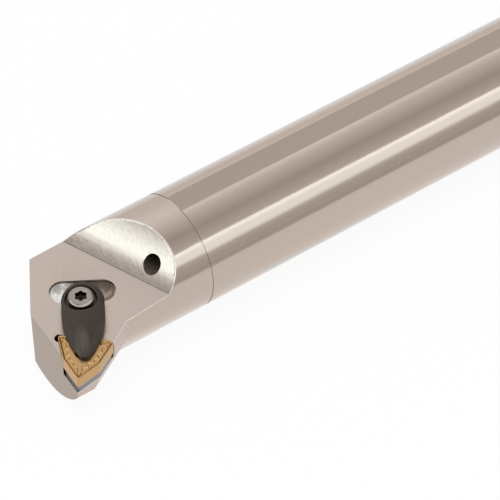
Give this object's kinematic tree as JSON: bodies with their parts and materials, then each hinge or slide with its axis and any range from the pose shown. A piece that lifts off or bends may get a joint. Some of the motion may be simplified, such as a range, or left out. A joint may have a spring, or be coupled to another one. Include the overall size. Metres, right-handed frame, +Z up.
{
  "type": "boring bar",
  "caption": "Round steel boring bar with flats along the shank, a milled cutting head, a coolant outlet in the chip ramp and a gold trigon insert held by a black top clamp.",
  "frame": {"origin": "centre of the rear end face, on the axis of the round shank", "axes": "+X along the bar from the rear end to the cutting head, +Z up and square to the flats, +Y from the axis towards the cutting nose"},
  "size_m": [0.3048, 0.0466, 0.0382],
  "materials": {
    "bar_steel": "ground shank, milled and brushed head, warm grey",
    "shim_carbide": "ground, blue-grey",
    "dark_steel": "blackened",
    "gold_coating": "thin gold-coloured coating, satin",
    "black_oxide": "black oxide, satin",
    "bright_steel": "turned, bright"
  },
  "bodies": {
    "bar": {"bar_body": "bar_steel", "shim": "shim_carbide", "shim_screw": "dark_steel", "insert": "gold_coating", "clamp_spring": "bright_steel"},
    "clamp": {"clamp": "black_oxide"},
    "screw": {"clamp_screw": "bright_steel"}
  },
  "joints": [
    {"name": "clamp_lift", "type": "slide", "parent": "bar", "child": "clamp", "axis": [0.0858, 0.173, 0.9812], "range_m": [0, 0.003], "deforming": ["clamp_spring"]},
    {"name": "clamp_screw_turn", "type": "hinge", "parent": "clamp", "child": "screw", "pos_m": [0.28855, 0.00638, 0.00407], "axis": [0.0858, 0.173, 0.9812], "range_deg": [0, 1350.1]}
  ],
  "couplings": [
    {"joint": "clamp_screw_turn", "follows": "clamp_lift", "rad_per_m": 7854}
  ]
}
